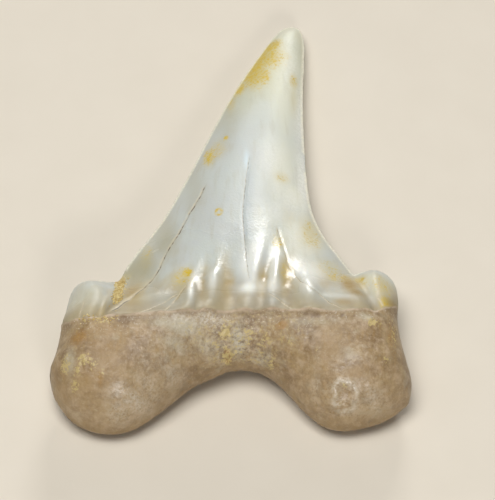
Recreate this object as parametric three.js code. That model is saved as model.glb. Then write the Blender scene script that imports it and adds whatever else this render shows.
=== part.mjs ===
// A fossil shark tooth of the mackerel-shark kind: one tall cusp that leans to one side, a low worn
// cusplet at each side of it, and a two-lobed root. Crown and root grew as one piece, so the tooth is one
// solid. It lies on its lingual (inner) face, as a loose tooth does, with the labial (outer) face up.
//
// Millimetres. +X runs across the tooth, +Y from the root to the tip, +Z up from the surface it lies on.
// The origin is the middle of the footprint, on that surface.

import * as THREE from "three";
import { LoftGeometry } from "three/addons/geometries/LoftGeometry.js";
import { ImprovedNoise } from "three/addons/math/ImprovedNoise.js";

// Driving dimensions
const WIDTH = 19.6; // across the two root lobes
const LENGTH = 27.8; // from the lobe ends to the tip of the cusp
const LOBE_RADIUS = 2.6; // how far the rounding of the root reaches in from its edge
const CUSPLET_RADIUS = 1.5; // the same for the two cusplets
const CUSPLET_ZONE = [5.4, 8]; // distances from the middle over which the cusp gives way to a cusplet
const CUSPLET_RISE = 0.62; // a cusplet rises this share of what the cusp would at its place
const CROWN_BLEND = 2.5; // the root's rounding changes to the crown's within this climb
const ENAMEL_STEP = 0.16; // the enamel's edge stands this far above the root
const ENAMEL_LIP = 0.12; // and falls to the root within this distance

// Heights along the tooth. Each table is read by the share of half the length, from -1 at the lobe ends to
// 1 at the tip, and gives millimetres.
const STATIONS = [-1, -0.8, -0.6, -0.36, 0, 0.36, 0.72, 0.92, 1];
const EDGE_HEIGHT = [0.9, 1.65, 2.6, 2.8, 2.45, 1.95, 1.35, 1.0, 0.85]; // outline above the surface
const LABIAL_RISE = [3.1, 2.95, 2.3, 1.75, 1.35, 1.0, 0.65, 0.45, 0.3]; // outer face above the outline
const LINGUAL_DEPTH = [1.0, 1.85, 1.95, 2.25, 1.95, 1.6, 1.2, 1.08, 0.55]; // inner face below the outline
const HALF_BREADTH = [2.6, 2.6, 3.4, 4.4, 3.2, 2.1, 1.3, 0.75, 0.5]; // from the edge to the flat middle

// The outline, in three curves that start together at the left end of the crown's base and end together at
// the right end: the crown's edge above, the root's edge below, and the enamel's lower edge between them.
// Each is cut in four at the two clefts and the tip, and the notch answers the tip on the root.
// A point is a share of half the width and a share of half the length.
const LEFT_END = [-0.937, -0.598];
const RIGHT_END = [0.928, -0.51];
const LEFT_CLEFT = [-0.622, -0.375];
const RIGHT_CLEFT = [0.686, -0.34];
const TIP = [0.362, 1];
const NOTCH = [0.04, -0.73];
const LEFT_ENAMEL_CORNER = [-0.72, -0.637];
const RIGHT_ENAMEL_CORNER = [0.8, -0.598];
const ENAMEL_MIDDLE = [0.06, -0.603];
const LEFT_LOBE_SIDE = [-0.975, -0.849];
const RIGHT_LOBE_SIDE = [0.985, -0.873];

const QUARTERS = [
  {
    // left cusplet, above the outer side of the left lobe
    columns: 22,
    crown: [
      LEFT_END, [-0.915, -0.505], [-0.88, -0.413], [-0.83, -0.376], [-0.76, -0.368], [-0.68, -0.375],
      LEFT_CLEFT,
    ],
    enamel: [LEFT_END, [-0.88, -0.63], [-0.8, -0.638], LEFT_ENAMEL_CORNER],
    root: [LEFT_END, [-0.95, -0.655], [-0.97, -0.71], [-0.998, -0.77], LEFT_LOBE_SIDE],
  },
  {
    // left flank of the cusp, above the left lobe
    columns: 36,
    crown: [
      LEFT_CLEFT, [-0.55, -0.262], [-0.394, -0.079], [-0.256, 0.142], [-0.121, 0.388], [0.014, 0.621],
      [0.165, 0.834], [0.25, 0.94], [0.305, 0.985], TIP,
    ],
    enamel: [LEFT_ENAMEL_CORNER, [-0.5, -0.633], [-0.33, -0.622], [-0.14, -0.606], ENAMEL_MIDDLE],
    root: [
      LEFT_LOBE_SIDE, [-0.88, -0.942], [-0.72, -0.994], [-0.55, -0.984], [-0.39, -0.91], [-0.22, -0.808],
      [-0.08, -0.758], [-0.01, -0.736], NOTCH,
    ],
  },
  {
    // right flank of the cusp, above the right lobe
    columns: 36,
    crown: [
      TIP, [0.404, 0.974], [0.424, 0.91], [0.424, 0.81], [0.414, 0.541], [0.425, 0.226], [0.456, -0.006],
      [0.521, -0.146], [0.609, -0.25], RIGHT_CLEFT,
    ],
    enamel: [ENAMEL_MIDDLE, [0.24, -0.605], [0.4, -0.625], [0.62, -0.625], RIGHT_ENAMEL_CORNER],
    root: [
      NOTCH, [0.1, -0.732], [0.18, -0.75], [0.28, -0.803], [0.42, -0.915], [0.55, -0.978], [0.7, -0.977],
      [0.86, -0.94], RIGHT_LOBE_SIDE,
    ],
  },
  {
    // right cusplet, above the outer side of the right lobe
    columns: 18,
    crown: [
      RIGHT_CLEFT, [0.742, -0.325], [0.81, -0.318], [0.875, -0.342], [0.917, -0.392], [0.93, -0.45],
      RIGHT_END,
    ],
    enamel: [RIGHT_ENAMEL_CORNER, [0.87, -0.562], RIGHT_END],
    root: [RIGHT_LOBE_SIDE, [1, -0.804], [0.968, -0.719], [0.937, -0.632], [0.925, -0.56], RIGHT_END],
  },
];

// Powers of the rounding at the edges: a half is as round as a pebble, and one is a sharp edge
const PEBBLE_POWER = 0.5;
const LABIAL_EDGE_POWER = 1;
const LINGUAL_EDGE_POWER = 0.75;

// Rows of points from the root's edge up to the enamel, and from the enamel up to the crown's edge
const ROOT_ROWS = 9;
const CROWN_ROWS = 14;
const COLUMN_CROWDING = 0.08; // how strongly columns draw together at the clefts, tip and notch
const ROW_CROWDING = 0.1; // and rows at the crown's base and edge

// Relief of the labial face. Folds run up from the enamel's edge and fade out.
// Each has its place across, its half width, its height and how far up it reaches.
const FOLDS = [
  { across: -2.3, halfWidth: 0.34, height: 0.22, reach: 3.2 },
  { across: -1.1, halfWidth: 0.42, height: 0.2, reach: 4.6 },
  { across: 0.9, halfWidth: 0.52, height: 0.3, reach: 5.6 },
  { across: 2.2, halfWidth: 0.38, height: 0.26, reach: 4.6 },
  { across: 4.2, halfWidth: 0.7, height: 0.28, reach: 4.4 },
];
const FOLD_HOLD = 0.35; // a fold keeps its height over this share of its reach
const CROWN_FOOT = { rise: 0.16, at: 0.7, halfWidth: 0.7 }; // the crown swells just above its edge
const CLEFT = { depth: 0.5, halfWidth: 0.4 }; // groove between a cusplet and the cusp
const CRUMB = { across: -6.15, along: -5.5, length: 0.95, width: 0.42, height: 0.62 }; // sand in a cleft
const ROOT_HOLLOW = { across: 0.3, along: -10.4, radius: 2.2, depth: 0.7 }; // above the notch, labial
const BOSS = { across: 0.3, along: -9.2, radius: 2.9, depth: 0.35 }; // swelling of the root, lingual
const NECK = { rise: 1.6, halfWidth: 0.8, depth: 0.2 }; // lingual groove between crown and root
const LUMPS = { height: 0.12, size: 1.9 }; // uneven swelling of the root's surface

const bell = (distance, halfWidth) => Math.exp(-((distance / halfWidth) ** 2));
const crowded = (share, strength) => share - strength * Math.sin(2 * Math.PI * share);
const place = ([across, along]) => new THREE.Vector2((across * WIDTH) / 2, (along * LENGTH) / 2);
const curve = (points) => new THREE.SplineCurve(points.map(place));

function table(values) {
  const reader = new THREE.CubicInterpolant(STATIONS, values, 1);
  return (y) => reader.evaluate(y / (LENGTH / 2))[0];
}

const edgeHeight = table(EDGE_HEIGHT);
const labialRise = table(LABIAL_RISE);
const lingualDepth = table(LINGUAL_DEPTH);
const halfBreadth = table(HALF_BREADTH);

// The whole outline as a chain of short straight pieces, for measuring how far a point is from the edge
const OUTLINE_STEPS = 60;
const outline = [
  ...QUARTERS.flatMap((quarter) => curve(quarter.crown).getSpacedPoints(OUTLINE_STEPS)),
  ...QUARTERS.flatMap((quarter) => curve(quarter.root).getSpacedPoints(OUTLINE_STEPS)).reverse(),
];
const outlinePieces = outline.map((point, i) => [point, outline[(i + 1) % outline.length]]);

function distanceToPiece(point, [start, end]) {
  const along = end.clone().sub(start);
  const share = THREE.MathUtils.clamp(point.clone().sub(start).dot(along) / (along.lengthSq() || 1), 0, 1);
  return point.distanceTo(along.multiplyScalar(share).add(start));
}

const edgeDistance = (point) => Math.min(...outlinePieces.map((piece) => distanceToPiece(point, piece)));

// The climb is how far a point lies above the enamel's edge, and is negative on the root
const crownShare = (climb) => THREE.MathUtils.smoothstep(climb, 0, CROWN_BLEND);
const cuspletShare = (point) => THREE.MathUtils.smoothstep(Math.abs(point.x), ...CUSPLET_ZONE);

// How full the tooth is at a point, from 0 at its edge to 1 on its flat middle. The root is rounded like a
// pebble, and the crown thins to a cutting edge that is sharper on the given power.
function fullness(point, climb, edgePower) {
  const crownReach = THREE.MathUtils.lerp(halfBreadth(point.y), CUSPLET_RADIUS, cuspletShare(point));
  const reach = THREE.MathUtils.lerp(LOBE_RADIUS, crownReach, crownShare(climb));
  const share = Math.min(edgeDistance(point) / reach, 1);
  return (share * (2 - share)) ** THREE.MathUtils.lerp(PEBBLE_POWER, edgePower, crownShare(climb));
}

const clefts = [
  [place(LEFT_CLEFT), place(LEFT_ENAMEL_CORNER)],
  [place(RIGHT_CLEFT), place(RIGHT_ENAMEL_CORNER)],
];

// Folds, swelling and clefts of the crown's outer face
function crownRelief(point, enamelPoint, climb) {
  const foot = CROWN_FOOT.rise * bell(climb - CROWN_FOOT.at, CROWN_FOOT.halfWidth);
  const folds = FOLDS.map(({ across, halfWidth, height, reach }) => {
    const fade = 1 - THREE.MathUtils.smoothstep(climb, FOLD_HOLD * reach, reach);
    return height * fade * bell(enamelPoint.x - across, halfWidth);
  });
  const grooves = clefts.map((line) => -CLEFT.depth * bell(distanceToPiece(point, line), CLEFT.halfWidth));
  return foot + [...folds, ...grooves].reduce((sum, part) => sum + part, 0);
}

function sandCrumb(point) {
  const across = (point.x - CRUMB.across) / CRUMB.width;
  const along = (point.y - CRUMB.along) / CRUMB.length;
  return CRUMB.height * Math.exp(-(across ** 2) - along ** 2);
}

const noise = new ImprovedNoise();
const LABIAL_LAYER = 0.5; // the two faces take their swelling from two layers of the same noise
const LINGUAL_LAYER = 7.5;

function lumps(point, climb, layer) {
  const swelling = noise.noise(point.x / LUMPS.size, point.y / LUMPS.size, layer);
  return LUMPS.height * (1 - crownShare(climb)) * swelling;
}

const distanceTo = ({ across, along }, point) => Math.hypot(point.x - across, point.y - along);

function labialHeight({ point, climb }, enamelPoint) {
  const hollow = -ROOT_HOLLOW.depth * bell(distanceTo(ROOT_HOLLOW, point), ROOT_HOLLOW.radius);
  const crown = ENAMEL_STEP + crownRelief(point, enamelPoint, climb) + sandCrumb(point);
  const thinning = (1 - CUSPLET_RISE) * cuspletShare(point) * crownShare(climb);
  const uneven = hollow + lumps(point, climb, LABIAL_LAYER);
  const rise = labialRise(point.y) * (1 - thinning) + uneven + (climb < 0 ? 0 : crown);
  return edgeHeight(point.y) + rise * fullness(point, climb, LABIAL_EDGE_POWER);
}

function lingualHeight({ point, climb }) {
  const boss = BOSS.depth * bell(distanceTo(BOSS, point), BOSS.radius);
  const neck = NECK.depth * bell(climb - NECK.rise, NECK.halfWidth);
  const depth = lingualDepth(point.y) + boss - neck + lumps(point, climb, LINGUAL_LAYER);
  return Math.max(0, edgeHeight(point.y) - depth * fullness(point, climb, LINGUAL_EDGE_POWER));
}

// Points of one column, from the root's edge over the enamel's edge to the crown's edge, in plan.
// Rows crowd together at both edges, where the surface turns.
function columnPoints(rootPoint, enamelPoint, crownPoint) {
  const lip = Math.min(ENAMEL_LIP, rootPoint.distanceTo(enamelPoint) / 2);
  const rootTop = rootPoint.clone().sub(enamelPoint).setLength(lip).add(enamelPoint);
  const rootRows = Array.from({ length: ROOT_ROWS }, (_, row) => {
    const share = 1 - Math.cos(((row / (ROOT_ROWS - 1)) * Math.PI) / 2);
    const point = rootPoint.clone().lerp(rootTop, share);
    return { point, climb: -point.distanceTo(enamelPoint) };
  });
  const crownRows = Array.from({ length: CROWN_ROWS }, (_, row) => {
    const share = crowded(row / (CROWN_ROWS - 1), ROW_CROWDING);
    const point = enamelPoint.clone().lerp(crownPoint, share);
    return { point, climb: point.distanceTo(enamelPoint) };
  });
  return [...rootRows, ...crownRows];
}

// One closed section: up the lingual face from the root's edge to the crown's edge, and back down the
// labial face.
function section(rootPoint, enamelPoint, crownPoint) {
  const rows = columnPoints(rootPoint, enamelPoint, crownPoint);
  const atHeight = ({ point }, height) => new THREE.Vector3(point.x, point.y, height);
  const lingual = rows.slice(1, -1).map((row) => atHeight(row, lingualHeight(row)));
  const labial = rows.reverse().map((row) => atHeight(row, labialHeight(row, enamelPoint)));
  return [...lingual, ...labial];
}

// Sections of one quarter of the tooth, left to right. They crowd together at its two ends.
function quarterSections({ columns, crown, enamel, root }) {
  const curves = [root, enamel, crown].map(curve);
  return Array.from({ length: columns }, (_, column) => {
    const share = crowded((column + 0.5) / columns, COLUMN_CROWDING);
    return section(...curves.map((line) => line.getPointAt(share)));
  });
}

function toothGeometry() {
  const sections = QUARTERS.flatMap(quarterSections);
  const geometry = new LoftGeometry(sections, { capStart: true, capEnd: true });
  geometry.computeBoundingBox();
  const { min, max } = geometry.boundingBox;
  return geometry.translate(-(min.x + max.x) / 2, -(min.y + max.y) / 2, -min.z);
}

const fossil = new THREE.MeshStandardMaterial({ color: 0xb9ae9a, roughness: 0.45, metalness: 0 });
const tooth = new THREE.Mesh(toothGeometry(), fossil);
tooth.name = "tooth";

const fossilTooth = new THREE.Group();
fossilTooth.add(tooth);

export default fossilTooth;
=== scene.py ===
# %% [markdown]
# # A fossil shark tooth
# The tooth lies on its inner face with the outer face up: a tall leaning crown of glossy enamel, a small
# worn cusplet at each side of it, and a satin brown root with two round lobes.
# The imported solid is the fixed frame. Everything here is in metres in that frame, and the finished surface
# takes the solid's place without changing its size.

# %% Load the frame
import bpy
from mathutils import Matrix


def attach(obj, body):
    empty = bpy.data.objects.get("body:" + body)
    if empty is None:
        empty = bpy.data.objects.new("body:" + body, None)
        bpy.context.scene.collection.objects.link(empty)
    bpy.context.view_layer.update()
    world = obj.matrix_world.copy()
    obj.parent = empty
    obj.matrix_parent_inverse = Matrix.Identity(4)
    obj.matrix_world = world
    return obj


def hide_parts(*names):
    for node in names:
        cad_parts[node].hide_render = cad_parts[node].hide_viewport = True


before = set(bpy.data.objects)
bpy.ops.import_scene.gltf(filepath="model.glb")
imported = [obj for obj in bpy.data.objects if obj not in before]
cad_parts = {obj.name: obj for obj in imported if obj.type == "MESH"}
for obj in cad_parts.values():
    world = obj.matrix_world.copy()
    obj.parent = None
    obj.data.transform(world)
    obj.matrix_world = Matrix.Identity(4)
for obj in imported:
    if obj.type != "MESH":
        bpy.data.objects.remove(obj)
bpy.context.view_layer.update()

# %% Modules and units
import math
import random
import bmesh
import bpy
import numpy as np
from mathutils import Euler, Matrix, Vector, kdtree, noise
from mathutils.bvhtree import BVHTree

MM = 0.001  # places and sizes below are in millimetres, and are multiplied by this for Blender
print("a millimetre is", MM, "m")

# %% [markdown]
# ## A smooth surface from the solid
# A real tooth has no facets. The surface could be sculpted from nothing, but the solid already has the
# right form, so a merged copy of it is rounded by a subdivision surface that keeps the cutting edges
# creased. A remesh then spreads small faces evenly, because relief that is added later needs them to be
# small everywhere. The copy is worked on in millimetres and goes back to metres at the end.

# %% Merged copy of the solid
MERGE_DISTANCE = 0.0005
CUTTING_EDGE_ANGLE = math.radians(50)
ROOT_EDGE_ANGLE = math.radians(62)
ABOVE_ROOT = -8.0
CUTTING_EDGE_TOP = 2.88  # sharp folds above this height lie in the clefts
EDGE_STEPS = 8  # points that are noted along each edge


def merged_form(node_name):
    form = bmesh.new()
    form.from_mesh(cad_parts[node_name].data)
    bmesh.ops.scale(form, verts=form.verts, vec=Vector((1, 1, 1)) / MM)
    bmesh.ops.remove_doubles(form, verts=form.verts, dist=MERGE_DISTANCE)
    return form


form = merged_form("tooth")
crease = form.edges.layers.float.new("crease_edge")
cutting_points = []
for edge in form.edges:
    start, end = [corner.co for corner in edge.verts]
    on_crown = min(start.y, end.y) > ABOVE_ROOT
    if edge.calc_face_angle(0) > (CUTTING_EDGE_ANGLE if on_crown else ROOT_EDGE_ANGLE):
        edge[crease] = 1.0
        if on_crown and max(start.z, end.z) < CUTTING_EDGE_TOP:
            cutting_points += [start.lerp(end, step / EDGE_STEPS) for step in range(EDGE_STEPS)]
print("merged:", len(form.verts), "vertices,", len(form.faces), "faces")

# %% Rounded and even surface
ROUNDING_LEVELS = 2
FACE_SIZE = 0.1


def new_object(name, form):
    mesh = bpy.data.meshes.new(name)
    form.to_mesh(mesh)
    form.free()
    piece = bpy.data.objects.new(name, mesh)
    bpy.context.scene.collection.objects.link(piece)
    return piece


def round_and_even(piece):
    rounding = piece.modifiers.new("rounding", "SUBSURF")
    rounding.levels = ROUNDING_LEVELS
    rounding.render_levels = ROUNDING_LEVELS
    evening = piece.modifiers.new("evening", "REMESH")
    evening.mode = "VOXEL"
    evening.voxel_size = FACE_SIZE
    seen = piece.evaluated_get(bpy.context.evaluated_depsgraph_get())
    even = bpy.data.meshes.new_from_object(seen)
    piece.modifiers.clear()
    piece.data = even
    even.shade_smooth()


tooth = new_object("fossil_tooth", form)
round_and_even(tooth)
print("even:", len(tooth.data.vertices), "vertices,", len(tooth.data.polygons), "faces")

# %% [markdown]
# ## Measuring the surface
# Relief and colour both depend on where a point lies on the tooth: how far above the enamel's lower edge,
# how close to a cutting edge, on the outer or the inner face. These could be painted by hand, but measures
# that are taken once at every vertex can drive the relief here and the material later.


# %% Vertices as columns of numbers
def read(values, field, width, kind=np.float32):
    numbers = np.empty(len(values) * width, kind)
    values.foreach_get(field, numbers)
    return numbers.reshape(-1, width)


points = read(tooth.data.vertices, "co", 3).astype(float)
edge_ends = read(tooth.data.edges, "vertices", 2, np.int32)
neighbour_count = np.bincount(edge_ends.ravel(), minlength=len(points))


def averaged(values, rounds):
    """Each vertex takes the mean of its neighbours and itself, a number of times over."""
    for _ in range(rounds):
        total = np.bincount(edge_ends[:, 0], values[edge_ends[:, 1]], len(points))
        total += np.bincount(edge_ends[:, 1], values[edge_ends[:, 0]], len(points))
        values = (values + total) / (1 + neighbour_count)
    return values


def to_neighbours():
    """The way from each vertex to the mean of its neighbours and itself."""
    return np.column_stack([averaged(axis, 1) for axis in points.T]) - points


print("read:", len(points), "vertices")

# %% Relaxed vertices
RELAX_ROUNDS = 12
RELAX_IN, RELAX_OUT = 0.6, 0.62  # each pull inward is followed by a push outward, so nothing shrinks
FOOT_RIDGE = {"along": -7.35, "half_width": 0.55, "rounds": 24, "pull": 0.5}  # worn soft on the tooth
for _ in range(RELAX_ROUNDS):
    for pull in (RELAX_IN, -RELAX_OUT):
        points += pull * to_neighbours()
ridge_share = np.exp(-(((points[:, 1] - FOOT_RIDGE["along"]) / FOOT_RIDGE["half_width"]) ** 2))
for _ in range(FOOT_RIDGE["rounds"]):
    points += (FOOT_RIDGE["pull"] * ridge_share)[:, None] * to_neighbours()
tooth.data.vertices.foreach_set("co", points.astype(np.float32).ravel())
tooth.data.update()
normals = read(tooth.data.vertex_normals, "vector", 3).astype(float)
across, along = points[:, 0], points[:, 1]
print("relaxed:", [round(float(v), 3) for v in points.min(0)], [round(float(v), 3) for v in points.max(0)])


# %% Soft steps and bells
def ramp(values, low, high):
    share = np.clip((values - low) / (high - low), 0, 1)
    return share * share * (3 - 2 * share)


def bell(values, half_width):
    return np.exp(-((values / half_width) ** 2))


OUTER_FROM, OUTER_FULL = -0.05, 0.3  # upward part of a normal where the outer face begins and is full
outer = ramp(normals[:, 2], OUTER_FROM, OUTER_FULL)  # 1 on the outer face, 0 on the inner one
print("outer face:", int((outer > 0.5).sum()), "vertices")

# %% Climb above the enamel's lower edge
ENAMEL_LINE = [
    (-9.18, -8.31), (-8.62, -8.76), (-7.84, -8.87), (-7.06, -8.85), (-4.9, -8.8), (-3.23, -8.65),
    (-1.37, -8.42), (0.59, -8.38), (2.35, -8.41), (3.92, -8.69), (6.08, -8.69), (7.84, -8.31),
    (8.53, -7.81), (9.09, -7.09),
]
ENAMEL_LINE_WAVES = [(0.05, 0.7, 1), (0.03, 0.25, 2)]
ENAMEL_EDGE = (-0.03, 0.06)  # climb at which the enamel begins and is full
SEED_STEPS = (7.3, 3.1, 5.7)  # each seed moves the noise this far


def rough(size, seed, octaves=1):
    """Smooth seeded noise from about -1 to 1, with features of the given size in millimetres."""
    shift = Vector([seed * step for step in SEED_STEPS])
    total = np.zeros(len(points))
    for octave in range(octaves):
        scale = 2**octave / size
        total += [noise.noise(Vector(p) * scale + shift) / 2**octave for p in points]
    return total


def waviness(waves):
    """Waves are (height, size, seed), all added up."""
    return sum(wave_height * rough(size, seed) for wave_height, size, seed in waves)


line_across, line_along = zip(*ENAMEL_LINE)
climb = along - np.interp(across, line_across, line_along)
climb += waviness(ENAMEL_LINE_WAVES)
crown = ramp(climb, *ENAMEL_EDGE)
print("enamel covers", round(float(crown.mean()), 2), "of the vertices")


# %% Distance from the cutting edges
def distance_to(places):
    tree = kdtree.KDTree(len(places))
    for i, spot in enumerate(places):
        tree.insert(spot, i)
    tree.balance()
    return np.array([tree.find(Vector(p))[2] for p in points])


cutting_edge = distance_to(cutting_points)
print("furthest from a cutting edge:", round(float(cutting_edge[crown > 0.5].max()), 2), "mm")

# %% [markdown]
# ## Marks on the outer face
# Stains, crusts and cracks sit at places of their own. They could be painted on a picture, but a picture
# has a fixed sharpness. Here each kind of mark is a short list of soft spots, measured in millimetres
# across and along the tooth, and each crack is a chain of a few points. A crack keeps a signed distance,
# because that stays exact between two vertices, so that the material can draw a line that is finer than
# the mesh.


# %% Soft spots
def spots(marks):
    """Marks are (across, along, half width, half length, strength); the strongest one counts."""
    total = np.zeros(len(points))
    for x, y, half_width, half_length, strength in marks:
        reach = np.hypot((across - x) / half_width, (along - y) / half_length)
        total = np.maximum(total, strength * np.exp(-(reach**2)))
    return total * outer


OCHRE_STAINS = [
    (2.2, 11.9, 0.6, 0.6, 0.95), (1.6, 11.1, 0.7, 0.7, 0.95), (1.35, 10.4, 0.6, 0.7, 1.0),
    (1.0, 9.7, 0.5, 0.7, 0.85), (1.75, 9.4, 0.5, 0.9, 0.7), (0.4, 8.75, 0.45, 0.7, 0.85),
    (2.8, 10.9, 0.6, 0.6, 0.4), (2.1, 10.9, 1.0, 1.2, 0.65), (1.3, 9.7, 0.9, 1.5, 0.75),
    (0.0, 7.6, 0.35, 1.0, 0.4), (3.5, 9.1, 0.25, 0.6, 0.5), (3.5, 7.6, 0.3, 1.6, 0.25),
    (-0.29, 4.45, 0.14, 0.17, 0.9), (-1.2, 3.2, 0.35, 0.8, 0.7), (-0.8, 3.6, 0.6, 1.0, 0.4),
    (2.8, 1.4, 0.5, 0.5, 0.35), (-2.37, -6.0, 0.26, 0.4, 1.0), (-2.6, -6.3, 0.8, 1.0, 0.4),
    (4.4, -2.4, 0.8, 1.7, 0.4), (3.2, -1.4, 0.6, 1.0, 0.2), (3.0, -5.8, 0.5, 1.1, 0.35),
    (6.2, -5.6, 0.5, 0.6, 0.6), (5.4, -5.0, 1.1, 1.0, 0.35), (8.35, -7.6, 0.35, 0.5, 0.7),
    (8.2, -6.2, 0.8, 1.0, 0.4), (7.3, -6.0, 0.5, 0.7, 0.3), (2.6, -3.6, 0.4, 0.8, 0.45),
    (7.0, -5.5, 0.4, 0.4, 0.6), (5.6, -5.7, 0.5, 0.5, 0.5), (-5.9, -5.2, 0.5, 0.6, 0.4),
    (-4.6, -3.6, 0.5, 1.4, 0.3),
]
STAIN_RING = {
    "across": -0.66, "along": -1.48, "radius": 0.17, "half_width": 0.08, "stretch": 1.3, "strength": 0.6,
}
ochre = spots(OCHRE_STAINS)
ring_reach = np.hypot(across - STAIN_RING["across"], (along - STAIN_RING["along"]) / STAIN_RING["stretch"])
stain_ring = bell(ring_reach - STAIN_RING["radius"], STAIN_RING["half_width"])
ochre = np.maximum(ochre, STAIN_RING["strength"] * outer * stain_ring)
print("ochre stains:", len(OCHRE_STAINS))

# %% Dark and light areas of the enamel
SMOKY_AREAS = [
    (-5.0, -5.2, 1.2, 2.2, 1.0), (-3.6, -2.8, 0.9, 2.4, 0.7), (-8.0, -7.2, 1.6, 1.8, 0.35),
    (8.3, -6.4, 0.9, 1.3, 0.45), (5.0, -7.7, 1.5, 0.7, 0.6), (-5.3, -8.0, 2.0, 0.8, 0.9),
    (-2.0, 1.0, 0.8, 3.0, 0.45), (-0.2, 6.0, 0.7, 3.4, 0.45),
]
# Pale areas: partly the enamel's own creamy colour, partly painted light where the crown carries sheen or
# turns away from the lamps.
PALE_AND_LIT_AREAS = [
    (3.7, -2.8, 1.1, 2.4, 1.0), (2.2, -2.2, 0.9, 2.0, 0.4), (2.9, 2.0, 1.0, 3.6, 0.85),
    (3.0, 7.0, 0.8, 4.5, 0.7), (3.2, 10.5, 0.6, 1.2, 0.6), (7.3, -5.7, 0.6, 0.7, 1.0),
    (-8.2, -7.0, 1.1, 1.2, 0.5), (8.3, -6.4, 0.8, 1.0, 0.8), (3.5, 0.4, 0.9, 1.3, 1.0),
]
# Painted sheen: spots where the crown's sheen and highlights are painted whitish, and flanks turned away
# from the key lamp are painted lighter.
PAINTED_SHEEN_AREAS = [
    (3.9, -5.4, 0.7, 1.0, 1.0), (4.6, -6.2, 0.6, 0.7, 0.7), (3.0, -2.8, 0.7, 1.8, 0.15),
    (1.8, -1.8, 0.6, 2.0, 0.25), (2.6, 0.6, 0.5, 2.0, 0.4), (3.3, 10.4, 0.6, 2.6, 0.6),
    (4.2, -3.4, 0.6, 1.4, 0.6), (7.2, -6.3, 0.45, 0.6, 0.45), (2.2, 2.6, 0.8, 1.6, 0.5),
    (3.6, -2.6, 0.6, 1.2, 0.7), (-2.15, -7.2, 0.16, 0.9, 1.0), (1.3, -4.9, 0.25, 1.1, 0.7),
    (2.2, -5.2, 0.18, 1.0, 0.6), (4.57, -5.5, 0.6, 1.0, 1.0), (3.4, -0.3, 0.8, 1.6, 0.65),
    (3.95, 1.8, 0.4, 3.2, 0.9), (3.85, 6.5, 0.35, 3.5, 0.7), (2.6, -1.2, 0.7, 1.1, 0.5),
    (3.0, 1.6, 0.7, 1.2, 0.3),
]
# Painted highlights: spots where glints of the lamp on the folds are painted white into the enamel's colour.
PAINTED_GLINTS = [
    (0.95, -7.2, 0.5, 0.35, 1.2), (1.6, -7.1, 0.4, 0.5, 0.6), (2.28, -7.1, 0.35, 0.5, 0.7),
    (-2.15, -7.5, 0.14, 0.5, 0.9), (0.8, -5.5, 0.35, 1.2, 0.8), (4.56, -5.6, 0.5, 0.7, 0.8),
]
smoky = spots(SMOKY_AREAS)
light = spots(PALE_AND_LIT_AREAS)
painted_sheen = spots(PAINTED_SHEEN_AREAS)
painted_glint = spots(PAINTED_GLINTS)
print("light and dark areas:", len(SMOKY_AREAS) + len(PALE_AND_LIT_AREAS) + len(PAINTED_SHEEN_AREAS) + len(PAINTED_GLINTS))

# %% Tinted and dull areas of the enamel, and a painted sky reflection
BLUE_AREAS = [
    (4.9, -7.8, 1.2, 0.6, 0.8), (6.0, -7.95, 0.7, 0.35, 0.2), (-3.2, -7.9, 1.4, 0.6, 0.9),
    (2.3, -8.0, 0.6, 0.3, 0.8),
]
SADDLE_AREAS = [
    (6.4, -6.2, 0.45, 0.8, 1.0), (6.8, -7.2, 0.5, 0.4, 0.8), (8.75, -7.5, 0.4, 0.4, 0.6),
    (-5.4, -6.9, 0.5, 1.1, 0.35), (6.1, -8.1, 0.5, 0.3, 0.3),
]
DULL_AREAS = [
    (-8.0, -7.2, 1.5, 1.8, 1.0), (7.9, -6.9, 1.3, 1.8, 1.0), (6.0, -7.4, 1.6, 0.9, 0.9),
    (-5.1, -7.7, 0.9, 0.6, 1.0),
]
VALLEYS = [
    (-1.5, -7.0, 0.35, 1.4, 0.5), (-0.25, -6.6, 0.5, 1.7, 0.8), (1.6, -6.6, 0.35, 1.4, 0.8),
    (3.0, -6.0, 0.45, 1.5, 1.0), (-3.0, -7.2, 0.6, 1.2, 0.5), (5.2, -6.5, 0.8, 0.9, 0.6),
    (6.5, -6.5, 0.55, 0.9, 1.0), (-4.0, -6.6, 0.6, 1.6, 0.4), (8.05, -6.8, 0.2, 0.9, 0.6),
    (-5.3, -7.3, 0.7, 1.2, 1.0), (6.0, -8.15, 0.6, 0.3, 0.6),
]
# A painted reflection: a pale blue streak of sky along the middle of the crown.
SKY_REFLECTION_STREAK = [(0.85, 2.5, 0.14, 0.7, 1.0)]
SAND_CRUMB = [(-6.0, -5.6, 0.3, 0.8, 1.0), (-6.1, -6.8, 0.28, 0.8, 1.0), (-6.2, -7.7, 0.22, 0.4, 0.7)]
blue = spots(BLUE_AREAS)
saddle = spots(SADDLE_AREAS)
dull = spots(DULL_AREAS)
valley_floor = spots(VALLEYS)
sky_reflection = spots(SKY_REFLECTION_STREAK)
sand_crumb = spots(SAND_CRUMB)
print("tinted areas:", len(BLUE_AREAS) + len(SADDLE_AREAS) + len(VALLEYS))

# %% Crusts and patches of the root
YELLOW_CRUSTS = [
    (-7.85, -11.3, 0.35, 0.4, 0.9), (-8.2, -11.75, 0.25, 0.3, 0.9), (-7.35, -11.7, 0.25, 0.25, 0.75),
    (-8.9, -11.2, 0.3, 0.5, 0.9), (-8.35, -12.35, 0.3, 0.25, 0.6), (-6.9, -12.0, 0.15, 0.2, 0.6),
    (-0.3, -9.2, 0.45, 0.3, 0.9), (1.1, -9.25, 0.25, 0.2, 0.7), (1.85, -9.5, 0.25, 0.25, 0.6),
    (3.2, -10.1, 0.2, 0.2, 0.6), (4.6, -10.7, 0.15, 0.15, 0.6), (2.2, -10.5, 0.3, 0.3, 0.7),
    (-0.1, -10.2, 0.45, 0.4, 1.0), (8.3, -11.2, 0.15, 0.2, 0.7), (7.65, -9.1, 0.4, 0.26, 1.0),
    (6.1, -12.55, 0.15, 0.15, 0.8), (-6.9, -9.2, 0.6, 0.25, 0.5), (8.75, -9.3, 0.3, 1.2, 0.55),
]
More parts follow.
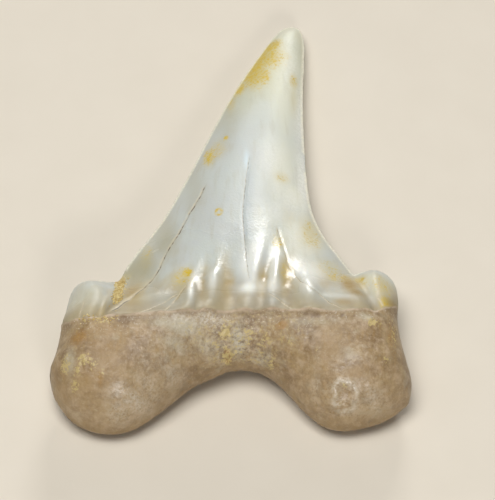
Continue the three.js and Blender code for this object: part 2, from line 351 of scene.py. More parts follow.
BROWN_PATCHES = [
    (-8.2, -9.8, 0.8, 0.8, 1.0), (2.6, -9.1, 0.4, 0.35, 0.8), (3.5, -9.7, 0.3, 0.25, 0.6),
    (-0.25, -10.05, 0.25, 0.25, 0.9), (6.1, -12.85, 0.4, 0.35, 0.5), (8.7, -9.8, 0.5, 1.5, 0.9),
    (5.2, -13.2, 1.6, 0.5, 0.5), (-7.0, -13.2, 1.6, 0.4, 0.35), (0.4, -10.3, 1.4, 0.5, 0.5),
]
GREY_PATCHES = [
    (-2.6, -9.4, 1.1, 0.5, 0.85), (-8.6, -11.2, 0.4, 0.9, 0.8), (0.4, -9.6, 0.5, 0.6, 0.8),
    (-3.6, -9.3, 0.8, 0.3, 0.6), (1.7, -10.3, 0.7, 0.4, 0.6), (-1.3, -9.9, 1.2, 0.6, 0.6),
    (7.3, -8.85, 0.4, 0.2, 0.6), (4.3, -9.2, 1.6, 0.25, 0.4), (-3.0, -10.2, 0.9, 0.5, 0.6),
    (6.3, -11.1, 0.7, 0.5, 0.5),
]
crust = spots(YELLOW_CRUSTS)
brown = spots(BROWN_PATCHES)
grey = spots(GREY_PATCHES)
print("crusts and patches:", len(YELLOW_CRUSTS) + len(BROWN_PATCHES) + len(GREY_PATCHES))

# %% Worn, matte and rusty places of the root, with painted sheen and painted shade
# Pale places: a few are pale patches below the crown, and most of those on the lobes are painted sheen.
PALE_WEAR_AND_SHEEN_PLACES = [
    (-6.0, -12.8, 0.8, 0.4, 0.6), (-5.2, -12.95, 0.8, 0.4, 0.8), (-4.5, -12.95, 0.6, 0.35, 0.5),
    (6.1, -12.45, 0.9, 0.25, 0.5), (-2.6, -9.0, 1.2, 0.35, 1.0), (-1.1, -8.85, 1.1, 0.35, 1.2),
    (-6.0, -13.4, 0.7, 0.4, 0.6), (-3.0, -10.3, 0.8, 0.6, 0.3), (-3.3, -11.4, 0.8, 0.6, 0.5),
    (7.6, -12.8, 0.5, 0.4, 0.55), (4.6, -12.15, 0.3, 0.4, 0.5), (-4.5, -12.2, 0.7, 0.6, 0.5),
    (-4.5, -11.4, 0.6, 0.6, 0.35),
]
# Matte places: rougher, and painted darker as shade on the upper lobes.
MATTE_AND_SHADED_PLACES = [
    (-6.8, -11.5, 1.4, 1.4, 1.0), (-6.8, -9.7, 0.9, 0.7, 0.8), (5.3, -10.8, 1.0, 1.0, 0.9),
    (6.8, -12.0, 0.7, 0.4, 0.8), (-9.0, -12.0, 0.6, 0.9, 0.8), (2.3, -9.4, 0.6, 0.5, 0.6),
]
RUSTY_SPOTS = [
    (-0.15, -10.08, 0.22, 0.22, 1.2), (2.76, -9.2, 0.4, 0.25, 1.1), (-8.15, -9.95, 0.6, 0.5, 0.75),
    (-6.95, -12.3, 0.25, 0.5, 0.7), (8.6, -9.6, 0.3, 1.0, 0.6), (-7.3, -10.4, 0.3, 0.3, 0.5),
]
PITS = [(7.93, -8.5, 0.22, 0.12, 1.0), (-9.05, -9.9, 0.15, 0.15, 0.8), (-7.7, -10.75, 0.12, 0.12, 0.8)]
pale_wear_and_sheen = spots(PALE_WEAR_AND_SHEEN_PLACES)
matte_and_shaded = spots(MATTE_AND_SHADED_PLACES)
rust = spots(RUSTY_SPOTS)
pit = spots(PITS)
print("worn, matte and rusty places:", len(PALE_WEAR_AND_SHEEN_PLACES) + len(MATTE_AND_SHADED_PLACES) + len(RUSTY_SPOTS))

# %% Cracks
FAR_AWAY = 99.0


def chain_distance(chain):
    """Signed distance to a chain of points, and the share of the way along it, in plan."""
    nearest = np.full(len(points), FAR_AWAY)
    travelled = np.zeros(len(points))
    lengths = [math.dist(a, b) for a, b in zip(chain, chain[1:])]
    start = 0
    for (ax, ay), (bx, by), length in zip(chain, chain[1:], lengths):
        ux, uy = (bx - ax) / length, (by - ay) / length
        step = np.clip((across - ax) * ux + (along - ay) * uy, 0, length)
        side = (across - ax) * uy - (along - ay) * ux
        gap = np.hypot(across - ax - step * ux, along - ay - step * uy)
        closer = gap < np.abs(nearest)
        nearest = np.where(closer, np.copysign(gap, side), nearest)
        travelled = np.where(closer, start + step, travelled)
        start += length
    return nearest, travelled / sum(lengths)


LEFT_CRACK = [
    (-1.33, 1.0), (-1.71, 0.0), (-2.25, -1.16), (-2.79, -2.57), (-3.22, -3.44), (-3.59, -4.34),
    (-3.85, -5.26), (-4.21, -6.13), (-4.9, -7.12), (-5.42, -7.98), (-6.05, -8.5), (-6.8, -8.8),
]
MIDDLE_CRACK = [
    (1.04, 2.9), (0.82, 0.95), (0.66, -1.5), (0.72, -3.0), (0.82, -4.4), (0.93, -6.0), (1.04, -6.7),
]
RIGHT_CRACK = [
    (2.46, -2.3), (2.84, -3.8), (3.1, -5.2), (3.74, -6.7), (4.28, -7.2), (5.34, -8.2), (6.2, -8.6),
]
LOW_CRACKS = [
    [(-2.36, -7.0), (-2.99, -8.1), (-3.53, -8.7)],
    [(-2.83, -7.6), (-3.53, -8.2), (-4.33, -8.6), (-5.14, -8.9)],
    [(2.0, -7.6), (2.71, -8.03), (3.3, -8.5), (3.9, -8.7)],
    [(-7.86, -7.6), (-8.1, -8.8)],
    [(8.15, -5.9), (7.95, -7.3), (8.27, -7.9)],
]
CRACK_WANDER = [(0.03, 0.45, 3), (0.015, 0.16, 4)]
chains = {"left": LEFT_CRACK, "middle": MIDDLE_CRACK, "right": RIGHT_CRACK}
for count, chain in enumerate(LOW_CRACKS):
    chains[f"low_{count}"] = chain
cracks = {name: chain_distance(chain) for name, chain in chains.items()}
wander = waviness(CRACK_WANDER)
print("cracks:", len(cracks))

# %% [markdown]
# ## Relief
# Light on the real tooth shows more than its outline: a low keel down the crown, hairline cracks, a raised
# lip at the enamel's lower edge, pores and a worn ring on the root. The relief could be only a bump in the
# material, but then the edges and the exported mesh would stay smooth, so the vertices themselves move
# along their normals.

# %% Relief of the crown
KEEL = {"height": 0.05, "half_width": 1.1}
CROWN_WAVES = [(0.014, 1.6, 5), (0.006, 0.6, 6)]
FOOT_WAVES = [(0.022, 0.9, 14), (0.012, 0.4, 15)]
BEAD = {"height": 0.03, "inset": 0.08, "half_width": 0.08}
LIP = {"height": 0.07, "climb": 0.05, "half_width": 0.07}
keel_gap = cracks["middle"][0]
keel = KEEL["height"] * bell(keel_gap, KEEL["half_width"]) * ramp(climb, 0.5, 3) * (1 - ramp(along, 3, 8))
foot = ramp(climb, 0.1, 0.5) * (1 - ramp(climb, 2.0, 3.5))
waves = waviness(CROWN_WAVES) + foot * waviness(FOOT_WAVES)
bead = BEAD["height"] * bell(cutting_edge - BEAD["inset"], BEAD["half_width"])
bead *= 0.6 + 0.7 * rough(0.3, 12)
lip = LIP["height"] * bell(climb - LIP["climb"], LIP["half_width"])
lip *= 0.7 + 0.6 * rough(0.5, 7)
print("keel, bead and lip:", [round(float(np.ptp(part)), 3) for part in (keel, bead, lip)], "mm")

# %% Crests of the folds, and the cracks
CRESTS = [
    {"chain": [(-2.1, -6.2), (-2.2, -8.2)], "half_width": 0.2, "height": 0.055},
    {"chain": [(-0.95, -5.2), (-1.0, -8.0)], "half_width": 0.28, "height": 0.03},
    {"chain": [(1.6, -2.4), (1.27, -4.6), (0.95, -8.0)], "half_width": 0.4, "height": -0.03},
    {"chain": [(2.5, -3.8), (2.2, -7.6)], "half_width": 0.25, "height": 0.02},
    {"chain": [(4.2, -4.4), (4.1, -7.6)], "half_width": 0.5, "height": 0.05},
]
crests = np.zeros(len(points))
crest_tops = np.zeros(len(points))
for crest in CRESTS:
    gap, share = chain_distance(crest["chain"])
    shape = bell(gap, crest["half_width"]) * ramp(share, 0, 0.45)
    crests += crest["height"] * shape
    crest_tops = np.maximum(crest_tops, shape)
crown_relief = outer * (keel + lip + crown * (crests + bead)) + crown * waves
CRACK_DEPTH = 0.035
CRACK_HALF_WIDTH = 0.06
CUSPLET_CRACKS = ("low_3", "low_4")
CUSPLET_CRACK_DEPTH = 0.01
for name, (gap, share) in cracks.items():
    depth = CUSPLET_CRACK_DEPTH if name in CUSPLET_CRACKS else CRACK_DEPTH
    within = ramp(share, 0.0, 0.06) * (1 - ramp(share, 0.95, 1.0))
    crown_relief -= depth * outer * crown * within * bell(gap + wander, CRACK_HALF_WIDTH)
print("crown relief:", round(float(np.ptp(crown_relief)), 3), "mm")

# %% Relief of the root
RING = {
    "across": 6.1, "along": -12.85, "radius": 0.62, "flattening": 0.75, "uneven": 0.15, "half_width": 0.18,
    "height": 0.05, "dish_radius": 0.42, "dish_depth": 0.1,
}
GROOVE = {"chain": [(0.3, -9.1), (0.42, -9.7), (0.35, -10.3)], "half_width": 0.3, "depth": 0.07}
COARSE_PATCH = {"across": 0.8, "along": -9.6, "half_width": 2.6, "half_length": 1.1}
GRAIN_HEIGHTS = {"broad": 0.012, "fine": 0.014, "coarse": 0.045}
PORE_DEPTH = 0.035
CRUST_HEIGHT = 0.08
WORN_SMOOTHING = 0.3  # share of the grain that is worn off the lobes
root = 1 - crown
ring_reach = np.hypot(across - RING["across"], (along - RING["along"]) / RING["flattening"])
ring = bell(ring_reach - RING["radius"] + RING["uneven"] * rough(0.6, 13), RING["half_width"])
dish = bell(ring_reach, RING["dish_radius"])
groove = bell(chain_distance(GROOVE["chain"])[0], GROOVE["half_width"])
patch_across = (across - COARSE_PATCH["across"]) / COARSE_PATCH["half_width"]
patch_along = (along - COARSE_PATCH["along"]) / COARSE_PATCH["half_length"]
coarse = bell(np.hypot(patch_across, patch_along), 1.0)
grain = GRAIN_HEIGHTS["broad"] * rough(0.45, 8, 2)
grain += (GRAIN_HEIGHTS["fine"] + GRAIN_HEIGHTS["coarse"] * coarse) * rough(0.22, 9, 2)
pores = -PORE_DEPTH * ramp(rough(0.3, 10), 0.42, 0.65)
worn = 1 - WORN_SMOOTHING * ramp(-along, 11.5, 12.8) * outer
root_relief = root * worn * (grain + pores)
root_relief += root * outer * (RING["height"] * ring - RING["dish_depth"] * dish - GROOVE["depth"] * groove)
root_relief += root * CRUST_HEIGHT * crust * ramp(rough(0.2, 11), -0.3, 0.4)
print("root relief:", round(float(np.ptp(root_relief)), 3), "mm")

# %% Move the vertices
moved = points + normals * (crown_relief + root_relief)[:, None]
moved[:, 2] = np.maximum(moved[:, 2], 0)
tooth.data.vertices.foreach_set("co", (moved * MM).astype(np.float32).ravel())
tooth.data.update()
HOLLOW_ROUNDS = 14
hollow = averaged(moved[:, 2], HOLLOW_ROUNDS) - moved[:, 2]
hollow *= np.sign(normals[:, 2])
print("deepest hollow:", round(float(hollow.max()), 3), "mm")

# %% [markdown]
# ## Keeping the measures on the mesh
# The material reads the measures as named attributes of the mesh, so each mark stays where it belongs when
# the tooth is looked at from another side.


# %% Attributes
def keep(name, values):
    layer = tooth.data.attributes.new(name, "FLOAT", "POINT")
    layer.data.foreach_set("value", values.astype(np.float32))


kept_measures = {
    "climb": climb, "edge": cutting_edge, "outer": outer, "ochre": ochre, "crust": crust, "brown": brown,
    "grey": grey, "worn": pale_wear_and_sheen, "matte_and_shaded": matte_and_shaded, "rust": rust, "pit": pit, "smoky": smoky,
    "light": light, "painted_sheen": painted_sheen, "blue": blue, "painted_glint": painted_glint, "saddle": saddle, "dull": dull,
    "hollow": hollow, "sky_reflection": sky_reflection, "sand": sand_crumb, "valley": valley_floor,
    "crest": outer * crest_tops, "ring": root * outer * ring, "coarse": root * outer * coarse,
}
for name, values in kept_measures.items():
    keep(name, values)
for name, (gap, share) in cracks.items():
    keep("gap_" + name, gap + wander)
    keep("share_" + name, share)
print("attributes:", len(tooth.data.attributes))

# %% [markdown]
# ## Sums in a material
# A node material can be linked by hand, but a long one is hard to read. This class wraps one socket, so
# that sums of sockets are written as sums, and each adds its Math node to the same tree.


# %% A socket to calculate with
class Shade:
    """One output socket of a material's node tree."""

    def __init__(self, tree, socket=None):
        self.tree = tree
        self.socket = socket

    def node(self, kind, settings=None, sockets=None, output=0):
        made = self.tree.nodes.new("ShaderNode" + kind)
        for name, value in (settings or {}).items():
            setattr(made, name, value)
        for name, value in (sockets or {}).items():
            if isinstance(value, Shade):
                self.tree.links.new(value.socket, made.inputs[name])
            else:
                made.inputs[name].default_value = value
        return Shade(self.tree, made.outputs[output]) if made.outputs else None

    def sum(self, operation, first, second=0.0):
        return self.node("Math", {"operation": operation}, {0: first, 1: second})

    def __add__(self, other):
        return self.sum("ADD", self, other)

    def __sub__(self, other):
        return self.sum("SUBTRACT", self, other)

    def __rsub__(self, other):
        return self.sum("SUBTRACT", other, self)

    def __mul__(self, other):
        return self.sum("MULTIPLY", self, other)

    def __abs__(self):
        return self.sum("ABSOLUTE", self)

    __radd__ = __add__
    __rmul__ = __mul__

    def rise(self, low, high):
        """0 below low, 1 above high, and smooth between."""
        limits = {"Value": self, "From Min": low, "From Max": high}
        return self.node("MapRange", {"interpolation_type": "SMOOTHSTEP"}, limits)

    def line(self, half_width):
        """1 where the value is 0, falling to 0 at the half width on both sides."""
        return 1 - abs(self).rise(0, half_width)

    def blend(self, share, first, second):
        """The first colour at a share of 0 and the second at 1."""
        return self.node("Mix", {"data_type": "RGBA"}, {0: share, 6: first, 7: second}, output=2)

    def tint(self, colour, share):
        """This colour, mixed with another by a share."""
        return self.blend(share, self, colour)


print("Shade is ready")


# %% A material to start from
def new_finish(name):
    """An empty material, its tree to calculate in, and the place of each point of the piece."""
    material = bpy.data.materials.new(name)
    material.use_nodes = True
    material.node_tree.nodes.clear()
    tree = Shade(material.node_tree)
    return material, tree, tree.node("TexCoord", output="Object")


fossil, shade, place = new_finish("fossil_tooth_finish")


def measure(name):
    return shade.node("Attribute", {"attribute_name": name}, output="Fac")


def mottle(size, detail=2.0, roughness=0.5):
    """Noise from 0 to 1 with features of the given size in millimetres."""
    sockets = {"Vector": place, "Scale": 1 / (size * MM), "Detail": detail, "Roughness": roughness}
    return shade.node("TexNoise", {}, sockets)


def colour(red, green, blue):
    return (red, green, blue, 1.0)


print("finish:", fossil.name)

# %% [markdown]
# ## Enamel
# The crown is glassy enamel over a paler core: bluish grey in the middle, creamier toward the tip, smoky
# on the left and grey brown where it meets the root. Iron in the ground has left ochre stains, and fine
# cracks are filled with cream and brown. Light also enters the enamel a little. This could be one flat
# colour with a few decals, but soft layers, mixed one over the other, blend as the real tones do.
# Some layers are painted light, not colour of the enamel: white highlights and sheen on the folds and the
# right flank, a sky reflection down the middle, and shade beside the middle crack.

# %% Enamel colours
PEARL = colour(0.54, 0.57, 0.53)
LILAC = colour(0.53, 0.55, 0.52)
CREAM = colour(0.57, 0.57, 0.42)
MILK = colour(0.76, 0.75, 0.60)
PAINTED_HIGHLIGHT_WHITE = colour(0.86, 0.86, 0.79)
SMOKE = colour(0.40, 0.37, 0.24)
SHADE_SLATE = colour(0.42, 0.47, 0.48)
BLUE_GREY = colour(0.45, 0.47, 0.42)
WARM_CREAM = colour(0.52, 0.44, 0.25)
SADDLE_BROWN = colour(0.31, 0.18, 0.015)
UMBER_GREY = colour(0.34, 0.275, 0.17)
VALLEY_BROWN = colour(0.40, 0.28, 0.09)
OCHRE_WASH = colour(0.59, 0.455, 0.12)
OCHRE = colour(0.60, 0.43, 0.04)
CRACK_DARK = colour(0.10, 0.085, 0.065)
CRACK_CREAM = colour(0.63, 0.55, 0.39)
SKY_REFLECTION_BLUE = colour(0.66, 0.78, 0.82)
EDGE_CREAM_AND_HIGHLIGHT = colour(0.92, 0.88, 0.72)
print("pearl:", PEARL[:3])

# %% Measures and noise of the enamel
tooth_along = shade.node("SeparateXYZ", {}, {0: place}, output="Y")
climb_here = measure("climb")
edge_here = measure("edge")
outer_here = measure("outer")
clouds = mottle(2.2)
blots = mottle(0.45)
specks = mottle(0.07, 1.0)
speckle = mottle(0.15, 2.0, 0.7).rise(0.36, 0.64)
hollow_here = measure("hollow")


def stretched(size, length):
    """Noise drawn out along the tooth, with features of the given size and length in millimetres."""
    longer = shade.node("VectorMath", {"operation": "MULTIPLY"}, {0: place, 1: (1, size / length, 1)})
    return shade.node("TexNoise", {}, {"Vector": longer, "Scale": 1 / (size * MM), "Detail": 2.0})


streaks = stretched(0.35, 3.5)
print("nodes to start from:", len(shade.tree.nodes))

# %% Enamel of the crown
enamel = shade.blend(clouds.rise(0.35, 0.65), PEARL, LILAC)
enamel = enamel.tint(CREAM, (tooth_along + (clouds - 0.5) * (5 * MM)).rise(4 * MM, 10 * MM))
enamel = enamel.tint(MILK, (tooth_along + (clouds - 0.5) * (2 * MM)).rise(11 * MM, 13 * MM) * 0.5)
# pale cream: partly the enamel's colour, partly painted light
enamel = enamel.tint(MILK, measure("light") * 0.9)
enamel = enamel.tint(SMOKE, (measure("smoky") + (clouds - 0.5) * 0.4).rise(0.05, 1.0) * 0.85)
enamel = enamel.tint(SMOKE, (1 - edge_here.rise(0.1, 1.1)) * 0.15)
enamel = enamel.tint(SMOKE, streaks.rise(0.5, 0.75) * 0.2)
# painted sheen and highlights, and painted light on flanks turned from the key lamp
enamel = enamel.tint(PAINTED_HIGHLIGHT_WHITE, measure("painted_sheen") * (0.6 + speckle * 0.4))
# Painted shade: a slate blue band along the left side of the middle crack, where the crown steps lower.
slate_shade_band = (measure("gap_middle") + 0.18).line(0.5) * measure("share_middle").rise(0.02, 0.2)
slate_shade_band = slate_shade_band * outer_here
enamel = enamel.tint(SHADE_SLATE, slate_shade_band * 0.35)
print("nodes of the crown:", len(shade.tree.nodes))

# %% Enamel of the folds
low_climb = climb_here + measure("dull") * 0.7 + (clouds - 0.5) * 1.6 + (streaks - 0.5) * 0.8
low_band = 1 - low_climb.rise(0.3, 2.6)
enamel = enamel.tint(UMBER_GREY, low_band * (0.95 - measure("crest") * 0.3))
fold_tone = stretched(1.0, 2.5)
enamel = enamel.tint(WARM_CREAM, (1 - climb_here.rise(1.5, 5.5)) * fold_tone.rise(0.38, 0.65) * 0.4)
enamel = enamel.tint(BLUE_GREY, measure("blue") * 0.7)
valley = measure("valley") + hollow_here.rise(0.003, 0.03) * 0.4 * (1 - climb_here.rise(2, 6)) * outer_here
enamel = enamel.tint(VALLEY_BROWN, (valley + (streaks - 0.5) * 0.4).rise(0.0, 1.3) * 0.88)
# painted highlights along the crests of the folds
enamel = enamel.tint(PAINTED_HIGHLIGHT_WHITE, measure("crest").rise(0.2, 1.0) * climb_here.rise(0.5, 1.8) * 0.42)
# painted highlights: white glints on the folds
enamel = enamel.tint(PAINTED_HIGHLIGHT_WHITE, measure("painted_glint") * 0.85)
# painted reflection of the sky
enamel = enamel.tint(SKY_REFLECTION_BLUE, measure("sky_reflection") * 0.7)
print("nodes with the folds:", len(shade.tree.nodes))

# %% Ochre stains
stain = measure("ochre")
enamel = enamel.tint(OCHRE_WASH, stain.rise(0.02, 0.8) * (0.78 + speckle * 0.22))
speckled = stain + (speckle - 0.5) * 1.0 + (blots - 0.5) * 1.3
enamel = enamel.tint(OCHRE, (speckled - 0.4).rise(0, 0.8) * stain.rise(0.05, 0.4) * 0.92)
enamel = enamel.tint(SADDLE_BROWN, measure("saddle") * (0.75 + speckle * 0.25))
# The cutting edges: partly the bevel's own cream colour, partly a painted highlight and painted light along
# the edge.
bare_outer = outer_here * (1 - measure("sand").rise(0.01, 0.1))
enamel = enamel.tint(EDGE_CREAM_AND_HIGHLIGHT, (1 - edge_here.rise(0.1, 0.34)) * (0.5 + speckle * 0.5) * bare_outer)
print("nodes with the stains:", len(shade.tree.nodes))


# %% Lines of the cracks
def crack_line(name, half_width, offset=0.0, end=0.95):
    share = measure("share_" + name)
    ends = share.rise(0, 0.05) * (1 - share.rise(end, 1))
    return (measure("gap_" + name) - offset).line(half_width) * ends * outer_here


CRACK_LOOKS = [
    {"name": "left", "cream": 0.14, "dark": 0.06, "strength": 1.0},
    {"name": "middle", "cream": 0.03, "dark": 0.05, "strength": 0.6},
    {"name": "right", "cream": 0.07, "dark": 0.035, "strength": 0.5},
    {"name": "low_0", "cream": 0.08, "dark": 0.03, "strength": 0.5},
    {"name": "low_1", "cream": 0.08, "dark": 0.03, "strength": 0.5},
    {"name": "low_2", "cream": 0.08, "dark": 0.03, "strength": 0.3},
    {"name": "low_3", "cream": 0.1, "dark": 0.03, "strength": 0.3},
    {"name": "low_4", "cream": 0.12, "dark": 0.03, "strength": 0.15},
]
broken = mottle(0.35, 1.0).rise(0.4, 0.6)
for look in CRACK_LOOKS:
    filling = crack_line(look["name"], look["cream"], 0.03)
    enamel = enamel.tint(CRACK_CREAM, filling * (0.15 + broken * 0.25 + speckle * 0.5))
    hairline = crack_line(look["name"], look["dark"]) * (0.3 + broken * 0.7)
    enamel = enamel.tint(CRACK_DARK, hairline * look["strength"])
lower_band = measure("share_left").rise(0.6, 0.8) * (measure("gap_left") - 0.1).line(0.2) * outer_here
enamel = enamel.tint(CRACK_CREAM, lower_band * 0.35 * (1 - measure("share_left").rise(0.96, 1)))
print("cracks drawn:", len(CRACK_LOOKS))

# %% [markdown]
# ## Root
# The root is porous dentine that has taken up minerals: a satin pinkish brown, mottled and finely grained,
# with grey areas, rusty patches and pale yellow crust, and polished where the lobes are worn. One brown
# with a bump would look like clay, so noise of several sizes gives the mottling, and the kept measures say
# where the patches lie.
# Some layers are painted light: sheen on the lobe ends, glints in the grain and on the worn ring, and shade
# on the lower sides and the upper lobes.

# %% Root colours
ROSE_BROWN = colour(0.38, 0.268, 0.136)
DARK_BROWN = colour(0.23, 0.148, 0.07)
PALE_ROSE = colour(0.52, 0.39, 0.26)
WARM_BROWN = colour(0.355, 0.22, 0.075)
WORN_AND_LIT_ROSE = colour(0.50, 0.36, 0.21)
RUST = colour(0.27, 0.155, 0.055)
ASH = colour(0.50, 0.445, 0.325)
CRUST_YELLOW = colour(0.55, 0.43, 0.18)
BONE = colour(0.66, 0.60, 0.49)
SAND = colour(0.54, 0.42, 0.18)
RIM = colour(0.58, 0.46, 0.33)
ORANGE_RUST = colour(0.37, 0.205, 0.06)
PIT_BROWN = colour(0.16, 0.105, 0.06)
print("rose brown:", ROSE_BROWN[:3])

# %% Mottling of the root
patches = mottle(1.3, 5.0, 0.62)
tone = mottle(0.5, 4.0, 0.6)
grit = mottle(0.16, 2.0, 0.6)
runs = stretched(0.3, 1.2)
painted_sparkle = mottle(0.1, 0.0)
root_look = shade.blend(patches.rise(0.35, 0.65), ROSE_BROWN, DARK_BROWN)
root_look = root_look.tint(PALE_ROSE, tone.rise(0.45, 0.7) * 0.6)
root_look = root_look.tint(ASH, mottle(0.8, 3.0, 0.6).rise(0.52, 0.72) * 0.35)
root_look = root_look.tint(WARM_BROWN, runs.rise(0.5, 0.72) * 0.45)
root_look = root_look.tint(PALE_ROSE, grit.rise(0.5, 0.8) * 0.45)
root_look = root_look.tint(DARK_BROWN, (1 - grit.rise(0.3, 0.52)) * 0.32)
tooth_height = shade.node("SeparateXYZ", {}, {0: place}, output="Z")
# Painted shade: the root is painted darker and warmer toward the floor, where light from above falls less.
low_side_shade = 1 - (tooth_height + (patches - 0.5) * MM).rise(0.6 * MM, 3.4 * MM)
root_look = root_look.tint(WARM_BROWN, low_side_shade * 0.45)
print("nodes with the mottling:", len(shade.tree.nodes))

# %% Patches of the root
under_crown = (1 + climb_here * 0.7).rise(0, 1)
# The lobe ends: worn smoother, and painted lighter as light falling on their sides toward the front.
worn_and_lit_lobe = (1 - tooth_along.rise(-12.6 * MM, -10.6 * MM)) * outer_here
root_look = root_look.tint(WORN_AND_LIT_ROSE, worn_and_lit_lobe * (0.05 + tone.rise(0.3, 0.7) * 0.45))
# pale patches, and painted sheen on the lobes
root_look = root_look.tint(BONE, measure("worn") * (0.2 + speckle * 0.5))
ashen = measure("grey") * 1.15 + under_crown * 0.32 + (grit - 0.5) * 0.6 + (tone - 0.5) * 0.4
root_look = root_look.tint(ASH, ashen.rise(0.15, 1.05) * 0.8)
rusty = measure("brown") + (patches - 0.5) * 0.6 + (grit - 0.5) * 0.4
root_look = root_look.tint(RUST, rusty.rise(0.3, 1.1) * 0.85)
coarse_here = measure("coarse") + measure("grey") * 0.25 + measure("brown") * 0.4
crumbs = mottle(0.22, 2.0, 0.6)
root_look = root_look.tint(ASH, coarse_here * speckle * 0.4)
root_look = root_look.tint(PIT_BROWN, coarse_here * (1 - crumbs.rise(0.33, 0.47)) * 0.5)
root_look = root_look.tint(CRUST_YELLOW, coarse_here * crumbs.rise(0.54, 0.66) * 0.8)
print("nodes with the patches:", len(shade.tree.nodes))

# %% Rust, crusts and pits of the root, with painted shade, highlight and sparkle
root_look = root_look.tint(ORANGE_RUST, (measure("rust") + (grit - 0.5) * 0.8).rise(0.2, 0.9) * 0.75)
# painted shade on the upper lobes
root_look = root_look.tint(DARK_BROWN, measure("matte_and_shaded") * 0.24)
root_look = root_look.tint(WARM_BROWN, measure("matte_and_shaded") * 0.35)
crusted = measure("crust") + (speckle - 0.5) * 0.7 + (blots - 0.5) * 0.9
root_look = root_look.tint(CRUST_YELLOW, crusted.rise(0.45, 0.85) * 0.85)
# The worn ring: a pale rim, partly a painted highlight of the light on it.
root_look = root_look.tint(BONE, measure("ring") * (0.06 + speckle * 0.28 + tone.rise(0.42, 0.62) * 0.3))
# painted sparkle: tiny glints painted whitish, most below the crown
root_look = root_look.tint(BONE, painted_sparkle.rise(0.69, 0.77) * (0.1 + under_crown * 0.45))
root_look = root_look.tint(PIT_BROWN, hollow_here.rise(0.01, 0.05) * 0.65 + measure("pit") * 0.6)
lip_share = (climb_here + 0.02).line(0.1) * outer_here * (0.25 + blots.rise(0.35, 0.6) * 0.7)
root_look = root_look.tint(RIM, lip_share)
print("nodes with the root:", len(shade.tree.nodes))

# %% Gloss of the enamel
sand_share = (measure("sand") + (grit - 0.5) * 0.4).rise(0.3, 0.6)
enamel = enamel.tint(SAND, sand_share)
enamel = enamel.tint(RIM, lip_share)
ENAMEL_BUMP = {"Strength": 0.22, "Distance": 0.02 * MM}
enamel_grain = specks * 0.9 + speckle * 0.6 + blots * 0.7 + streaks * 0.3
enamel_bump = shade.node("Bump", {}, {**ENAMEL_BUMP, "Height": enamel_grain})
enamel_gloss = 0.2 + tooth_along.rise(-4 * MM, 4 * MM) * 0.28 + clouds * 0.1 + sand_share * 0.3
enamel_gloss = enamel_gloss + (1 - climb_here.rise(0.1, 1.2)) * 0.25 + measure("dull") * 0.25
enamel_sockets = {
    "Base Color": enamel, "Roughness": enamel_gloss, "Normal": enamel_bump, "IOR": 1.6,
    "Subsurface Weight": 0.25, "Subsurface Scale": 0.5 * MM, "Subsurface Radius": (1.0, 0.85, 0.6),
}
enamel_shader = shade.node("BsdfPrincipled", {}, enamel_sockets)
print("nodes with the enamel's gloss:", len(shade.tree.nodes))

# %% Gloss of the root
ROOT_BUMP = {"Strength": 0.6, "Distance": 0.06 * MM}
root_grain = grit * 0.6 + specks * 0.3 + tone * 0.8
root_bump = shade.node("Bump", {}, {**ROOT_BUMP, "Height": root_grain})
root_gloss = 0.34 + grit * 0.2 + under_crown * 0.1 - worn_and_lit_lobe * 0.14 + measure("matte_and_shaded") * 0.2
root_gloss = root_gloss - measure("worn") * 0.08 - measure("ring") * 0.1
lobe_end = 1 - tooth_along.rise(-13.4 * MM, -11.8 * MM)
polish = lobe_end * outer_here * (0.15 + tone.rise(0.35, 0.6) * 0.35)
root_sockets = {
    "Base Color": root_look, "Roughness": root_gloss, "Normal": root_bump, "IOR": 1.56,
    "Coat Weight": polish, "Coat Roughness": 0.25,
}
root_shader = shade.node("BsdfPrincipled", {}, root_sockets)
print("nodes with the root's gloss:", len(shade.tree.nodes))

# %% Enamel and root in one material
crown_share = (climb_here + (specks - 0.5) * 0.06).rise(-0.03, 0.05)
both = shade.node("MixShader", {}, {0: crown_share, 1: root_shader, 2: enamel_shader})
shade.node("OutputMaterial", {}, {"Surface": both})
tooth.data.materials.clear()
tooth.data.materials.append(fossil)
print("nodes:", len(shade.tree.nodes))

# %% Put the tooth in the frame
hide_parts("tooth")
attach(tooth, "root")
print("tooth rides on root")

# %% [markdown]
# ## Sand in the cleft
# Grains of sand are cemented beside the left cusplet, and a few along the enamel's edge below it. They
# could be bumps of the tooth's own surface, but single grains stand out there, so they are modelled as
# small uneven pebbles. Each one is a squashed icosphere that is half sunk in the tooth.

# %% Grains
GRAIN_SEED = 5
GRAIN_FACES = 20
GRAIN_SQUASH = (0.7, 1.15)
DROP_HEIGHT = 20  # grains are dropped on the tooth from here
random.seed(GRAIN_SEED)
surface_tree = BVHTree.FromObject(tooth, bpy.context.evaluated_depsgraph_get())
GRAIN_FIELDS = [
    {"count": 420, "start": (-5.95, -5.45), "end": (-6.18, -8.1), "spread": 0.15, "radius": (0.035, 0.065)},
    {"count": 60, "start": (-8.0, -8.95), "end": (-6.2, -8.95), "spread": 0.1, "radius": (0.03, 0.06)},
]


def add_grain(form, x, y, radius):
    hit = surface_tree.ray_cast(Vector((x, y, DROP_HEIGHT)) * MM, Vector((0, 0, -1)))[0]
    if hit is None:
        return
    turn = Euler([random.uniform(0, math.pi) for _ in range(3)]).to_matrix().to_4x4()
    squash = Matrix.Diagonal([random.uniform(*GRAIN_SQUASH) for _ in range(3)] + [1])
    bmesh.ops.create_icosphere(
        form, subdivisions=1, radius=radius * MM, matrix=Matrix.Translation(hit) @ turn @ squash
    )


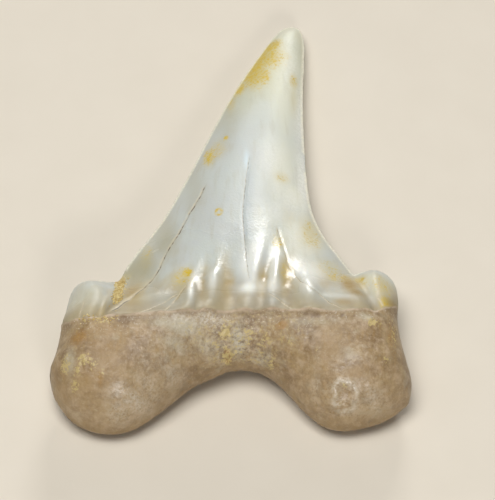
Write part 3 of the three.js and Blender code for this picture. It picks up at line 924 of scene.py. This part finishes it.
sand_form = bmesh.new()
for field in GRAIN_FIELDS:
    for _ in range(field["count"]):
        x, y = Vector(field["start"]).lerp(Vector(field["end"]), random.random())
        x += random.gauss(0, field["spread"])
        y += random.gauss(0, field["spread"])
        add_grain(sand_form, x, y, random.uniform(*field["radius"]))
sand = new_object("cleft_sand", sand_form)
sand.data.shade_smooth()
print("sand grains:", len(sand.data.polygons) // GRAIN_FACES)

# %% Sand finish
sand_finish, shade, place = new_finish("cleft_sand_finish")
GRAIN_PALE = colour(0.68, 0.56, 0.26)
GRAIN_RUST = colour(0.46, 0.32, 0.10)
tones = mottle(0.18, 1.0)
sand_look = shade.blend(tones.rise(0.35, 0.65), GRAIN_PALE, GRAIN_RUST)
sand_sockets = {"Base Color": sand_look, "Roughness": 0.45 + tones * 0.25, "IOR": 1.5}
shade.node("OutputMaterial", {}, {"Surface": shade.node("BsdfPrincipled", {}, sand_sockets)})
sand.data.materials.append(sand_finish)
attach(sand, "root")
print("sand rides on root")

# %% [markdown]
# ## Floor, light and camera
# A plain pale floor catches a soft shadow. The main light is large and hangs almost straight above the
# tooth. A low light behind makes the folds of the crown shine, and a low one in front shows the round ends
# of the lobes. The camera looks down on the tooth from the side of its root.

# %% Floor
FLOOR_HALF = 1.5
FLOOR_DROP = 0.01  # just under the tooth, so that the two faces don't flicker
floor_form = bmesh.new()
bmesh.ops.create_grid(floor_form, x_segments=1, y_segments=1, size=FLOOR_HALF)
floor = new_object("floor", floor_form)
floor.location.z = -FLOOR_DROP * MM
floor_finish, shade, place = new_finish("floor_finish")
FLOOR_PALE = colour(0.70, 0.64, 0.54)
FLOOR_DEEP = colour(0.66, 0.60, 0.50)
floor_look = shade.blend(mottle(3.0, 3.0), FLOOR_PALE, FLOOR_DEEP)
floor_sockets = {"Base Color": floor_look, "Roughness": 0.8}
shade.node("OutputMaterial", {}, {"Surface": shade.node("BsdfPrincipled", {}, floor_sockets)})
floor.data.materials.append(floor_finish)
print("floor", 2 * FLOOR_HALF, "m wide")


# %% Lights
def soft_light(name, direction, distance, size, watts):
    lamp = bpy.data.lights.new(name, "AREA")
    lamp.shape = "RECTANGLE"
    lamp.size, lamp.size_y = size
    lamp.energy = watts
    holder = bpy.data.objects.new(name, lamp)
    holder.location = Vector(direction).normalized() * distance
    holder.rotation_euler = Vector(direction).to_track_quat("Z", "Y").to_euler()
    holder.visible_camera = False
    bpy.context.scene.collection.objects.link(holder)


STUDIO_COLOUR = colour(1.0, 0.97, 0.92)
STUDIO_STRENGTH = 0.04
soft_light("key_light", direction=(-0.12, -0.15, 1.0), distance=0.3, size=(0.17, 0.17), watts=0.82)
soft_light("sheen_light", direction=(0.12, 0.9, 0.42), distance=0.35, size=(0.1, 0.05), watts=0.46)
soft_light("front_light", direction=(0.18, -0.85, 0.48), distance=0.4, size=(0.09, 0.06), watts=0.33)
world = bpy.data.worlds.new("studio")
world.use_nodes = True
background = world.node_tree.nodes["Background"]
background.inputs["Color"].default_value = STUDIO_COLOUR
background.inputs["Strength"].default_value = STUDIO_STRENGTH
bpy.context.scene.world = world
bpy.context.scene.view_settings.view_transform = "Standard"

# %% Camera
CAMERA_TARGET = Vector((0.906, -1.11, 0)) * MM
CAMERA_DISTANCE = 260 * MM
CAMERA_ELEVATION = math.radians(55)
CAMERA_LENS = 337
SENSOR_WIDTH = 36
camera_data = bpy.data.cameras.new("camera")
camera_data.lens = CAMERA_LENS
camera_data.sensor_width = SENSOR_WIDTH
camera = bpy.data.objects.new("camera", camera_data)
back = Vector((0, -math.cos(CAMERA_ELEVATION), math.sin(CAMERA_ELEVATION)))
camera.location = CAMERA_TARGET + back * CAMERA_DISTANCE
camera.rotation_euler = (math.pi / 2 - CAMERA_ELEVATION, 0, 0)
bpy.context.scene.collection.objects.link(camera)
bpy.context.scene.camera = camera
print("camera at", [round(v, 4) for v in camera.location])
